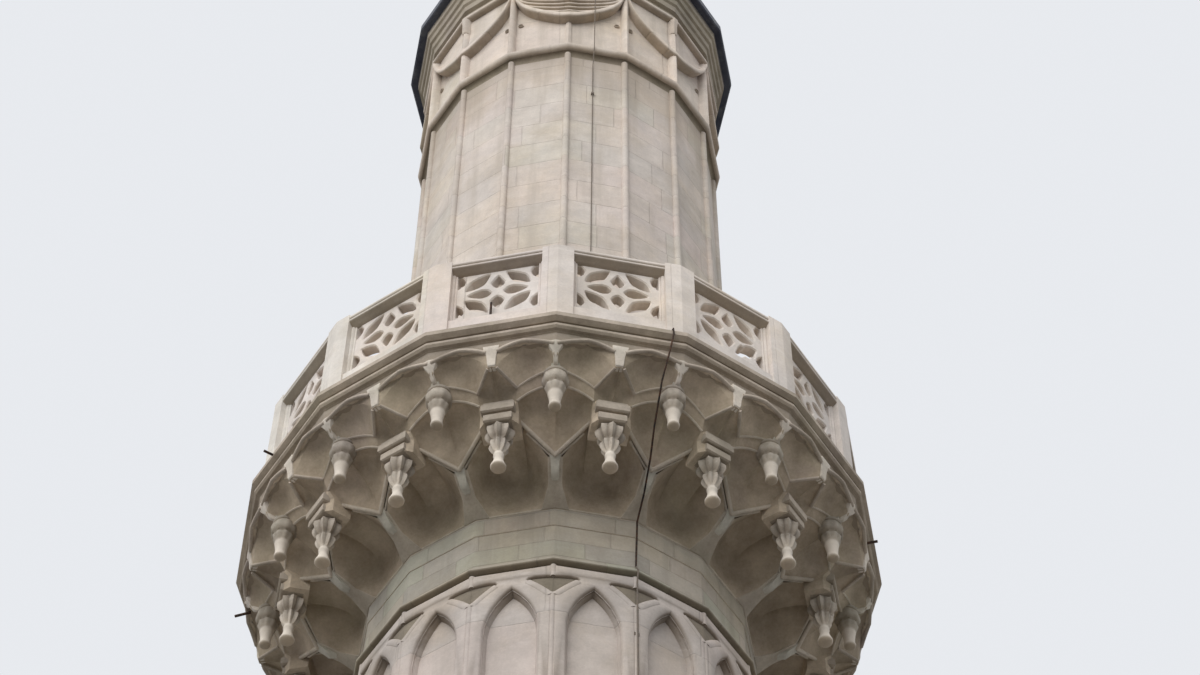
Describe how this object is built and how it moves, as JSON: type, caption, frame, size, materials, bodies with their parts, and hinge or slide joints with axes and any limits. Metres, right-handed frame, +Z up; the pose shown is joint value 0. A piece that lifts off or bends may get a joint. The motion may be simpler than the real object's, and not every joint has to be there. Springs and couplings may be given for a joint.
{
  "type": "stone minaret",
  "caption": "Sixteen-sided stone minaret on a square base, with a corbelled balcony, pierced parapet, ribbed upper shaft, swag frieze and lead cone roof",
  "frame": {"origin": "centre of the underside of the base, on the ground", "axes": "+Z up the tower, -Y towards the side that the picture shows and the base door, +X to the right of it; corner 0 of the sixteen-sided plan points to -Y"},
  "size_m": [4.564, 4.564, 30.3367],
  "materials": {
    "shaft_stone": "weathered limestone ashlar with thin joints, cream with pinkish and greenish blocks",
    "pale_stone": "dressed pale limestone, lightly weathered",
    "carved_stone": "carved limestone, soiled in the hollows, light on the edges",
    "lead": "weathered dark sheet lead",
    "oak": "dark weathered planks",
    "gilt": "gilded metal, slightly dulled"
  },
  "bodies": {
    "root": {"base_plinth": "shaft_stone", "base_wall_right": "shaft_stone", "base_wall_left": "shaft_stone", "base_wall_back": "shaft_stone", "base_wall_front_right": "shaft_stone", "base_wall_front_left": "shaft_stone", "base_wall_over_door": "shaft_stone", "base_door": "oak", "base_cornice": "shaft_stone", "transition_drum": "shaft_stone", "shaft_foot_ring": "shaft_stone", "shaft_lower": "shaft_stone", "shaft_window_course_back": "shaft_stone", "shaft_window_course_front": "shaft_stone", "shaft_upper": "shaft_stone", "blind_arcade": "shaft_stone", "arcade_ring": "shaft_stone", "plain_band": "shaft_stone", "corbelling_lower_tier": "carved_stone", "corbelling_upper_tier": "carved_stone", "balcony_cornice": "pale_stone", "parapet_posts_and_plinth": "pale_stone", "parapet_panel_01": "pale_stone", "parapet_panel_02": "pale_stone", "parapet_panel_03": "pale_stone", "parapet_panel_04": "pale_stone", "parapet_panel_05": "pale_stone", "parapet_panel_06": "pale_stone", "parapet_panel_07": "pale_stone", "parapet_panel_08": "pale_stone", "parapet_panel_09": "pale_stone", "parapet_panel_10": "pale_stone", "parapet_panel_11": "pale_stone", "parapet_panel_12": "pale_stone", "parapet_panel_13": "pale_stone", "parapet_panel_14": "pale_stone", "parapet_panel_15": "pale_stone", "parapet_panel_16": "pale_stone", "upper_shaft_wall_front": "shaft_stone", "upper_shaft_wall_right": "shaft_stone", "upper_shaft_wall_back": "shaft_stone", "upper_shaft_wall_left": "shaft_stone", "balcony_door": "oak", "upper_shaft_ring": "pale_stone", "swag_frieze": "pale_stone", "roof_eave": "lead", "lead_roof": "lead", "finial": "gilt"}
  },
  "joints": []
}
